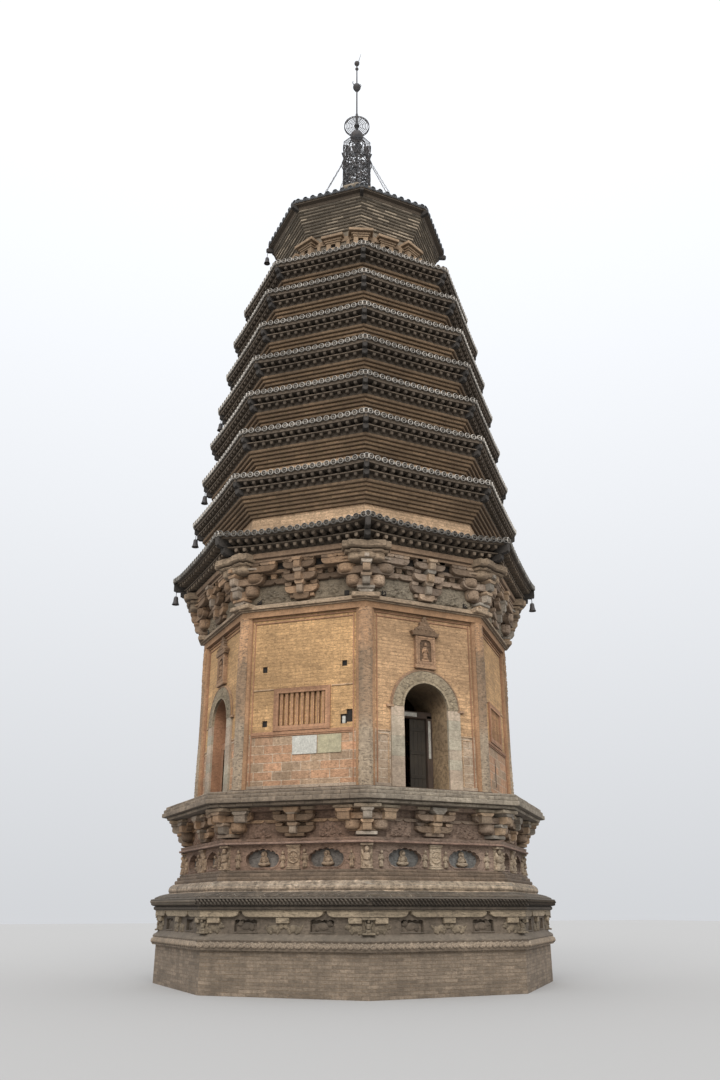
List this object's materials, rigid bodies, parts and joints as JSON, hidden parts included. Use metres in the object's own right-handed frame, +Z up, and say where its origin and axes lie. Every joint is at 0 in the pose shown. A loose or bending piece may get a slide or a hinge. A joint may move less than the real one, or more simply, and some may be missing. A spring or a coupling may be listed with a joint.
{
  "type": "brick pagoda",
  "caption": "Octagonal dense-eave brick pagoda on a carved two-tier base, with blind windows, arched doors, bracket belts, tiled eaves with bells and an openwork iron finial",
  "frame": {"origin": "centre of the foot, on the ground", "axes": "+Z up; -Y is the side with the open doorway"},
  "size_m": [9.2018, 9.2018, 29.9726],
  "materials": {
    "wall_brick": "weathered ochre brick",
    "column_brick": "weathered red-brown brick",
    "carved_brick": "carved brick, weathered",
    "base_stone": "weathered grey-brown brick and stone",
    "eave_tile": "unglazed grey tile, weathered",
    "door_wood": "old dark paint on boards",
    "cast_iron": "dark weathered iron"
  },
  "bodies": {
    "tower": {"footing": "base_stone", "lotus_band": "base_stone", "lower_tier": "base_stone", "lower_cornice": "base_stone", "plinth": "base_stone", "waist_foot": "base_stone", "waist": "carved_brick", "waist_beam": "carved_brick", "base_brackets": "carved_brick", "ledge": "base_stone", "floor_course": "wall_brick", "column_frame": "column_brick", "wall_front_left_pier": "wall_brick", "wall_front_right_pier": "wall_brick", "wall_front_over_door": "wall_brick", "wall_front_right": "wall_brick", "wall_right": "wall_brick", "wall_back_right": "wall_brick", "wall_back": "wall_brick", "wall_back_left": "wall_brick", "wall_left": "wall_brick", "wall_front_left": "wall_brick", "door_surround": "carved_brick", "bracket_belt": "carved_brick", "eave_1": "eave_tile", "storey_2": "wall_brick", "eave_2": "eave_tile", "storey_3": "wall_brick", "eave_3": "eave_tile", "storey_4": "wall_brick", "eave_4": "eave_tile", "storey_5": "wall_brick", "eave_5": "eave_tile", "storey_6": "wall_brick", "eave_6": "eave_tile", "storey_7": "wall_brick", "eave_7": "eave_tile", "storey_8": "wall_brick", "eave_8": "eave_tile", "storey_9": "wall_brick", "eave_9": "eave_tile", "top_roof": "eave_tile", "finial_seat": "wall_brick", "finial_drum": "cast_iron", "finial_crown": "cast_iron", "finial_mast": "cast_iron", "finial_lower_wheel": "cast_iron", "finial_upper_wheel": "cast_iron", "finial_stays": "cast_iron", "door_frame": "door_wood"},
    "leaf_left": {"door_leaf_left": "door_wood"},
    "leaf_right": {"door_leaf_right": "door_wood"}
  },
  "joints": [
    {"name": "leaf_left_hinge", "type": "hinge", "parent": "tower", "child": "leaf_left", "pos_m": [-0.385, -2.832, 4.108], "axis": [0, 0, -1], "range_deg": [0, 90]},
    {"name": "leaf_right_hinge", "type": "hinge", "parent": "tower", "child": "leaf_right", "pos_m": [0.385, -2.832, 4.108], "axis": [0, 0, -1], "range_deg": [0, 90]}
  ]
}
